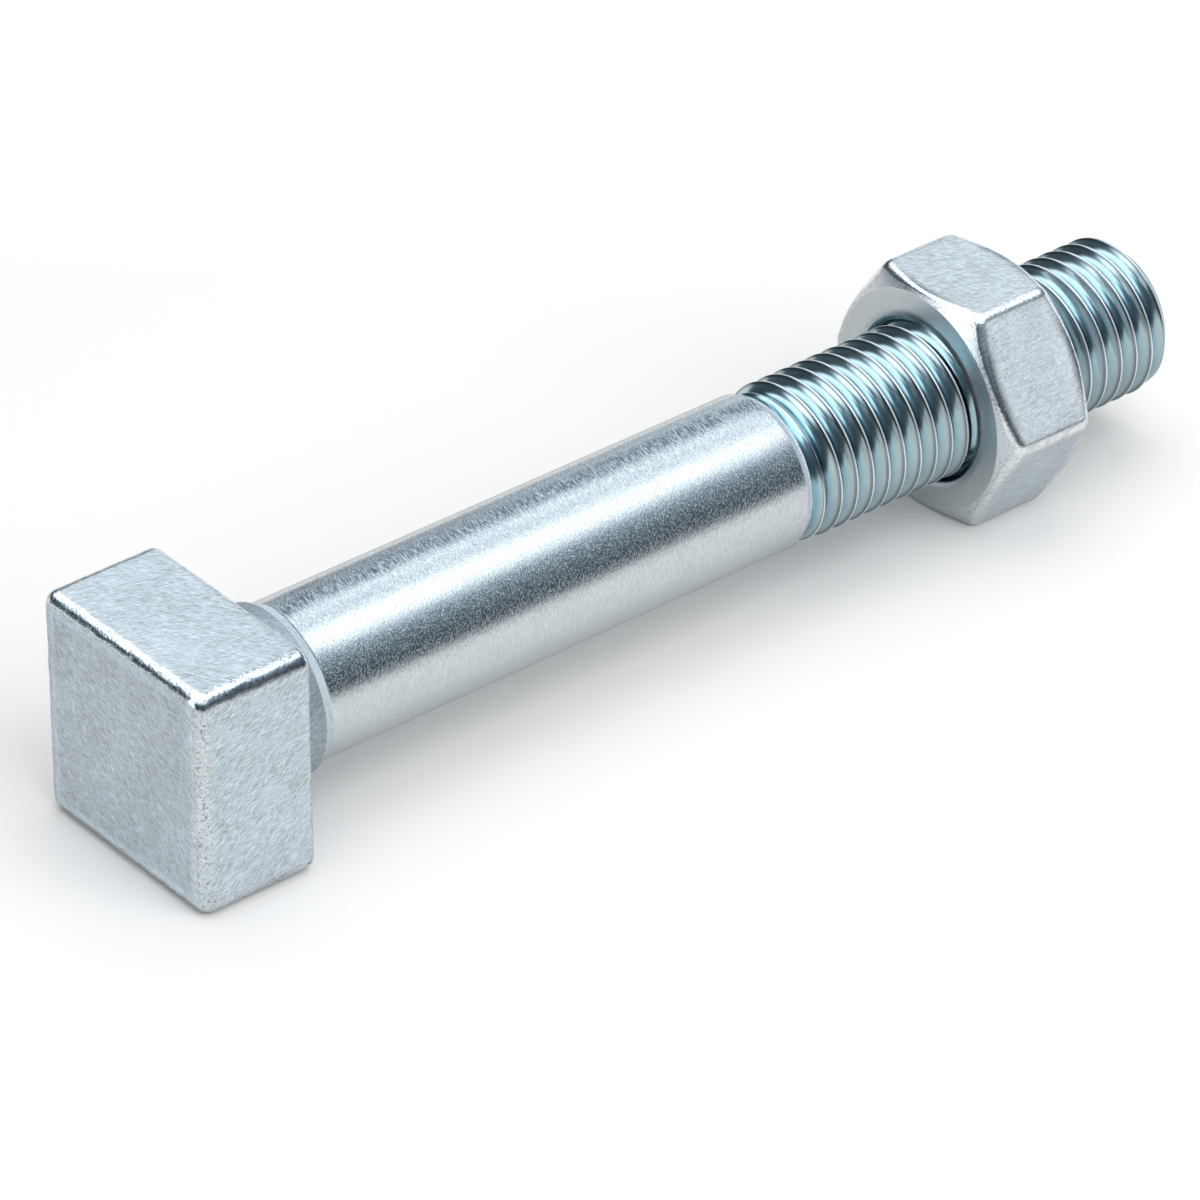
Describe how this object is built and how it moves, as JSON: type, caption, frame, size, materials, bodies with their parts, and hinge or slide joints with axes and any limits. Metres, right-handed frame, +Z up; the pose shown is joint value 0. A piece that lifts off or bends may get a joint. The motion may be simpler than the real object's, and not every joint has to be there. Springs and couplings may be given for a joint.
{
  "type": "square head bolt with hex nut",
  "caption": "Square head bolt with a plain round shank, a coarse thread at its end and a hex nut on the thread.",
  "frame": {"origin": "on the bolt's axis, in the plane where the head bears on the work", "axes": "+X along the bolt's axis from the head to the tip, +Z up out of the surface that the bolt lies on, which meets one flat of the head and one flat of the nut"},
  "size_m": [0.1525, 0.0346, 0.03],
  "materials": {
    "bolt_steel": "zinc plated, satin",
    "nut_steel": "zinc plated, satin"
  },
  "bodies": {
    "bolt": {"square_head_bolt": "bolt_steel"},
    "nut": {"hex_nut": "nut_steel"}
  },
  "joints": [
    {"name": "nut_travel", "type": "slide", "parent": "bolt", "child": "nut", "axis": [1, 0, 0], "range_m": [-0.0225, 0.0375]}
  ]
}
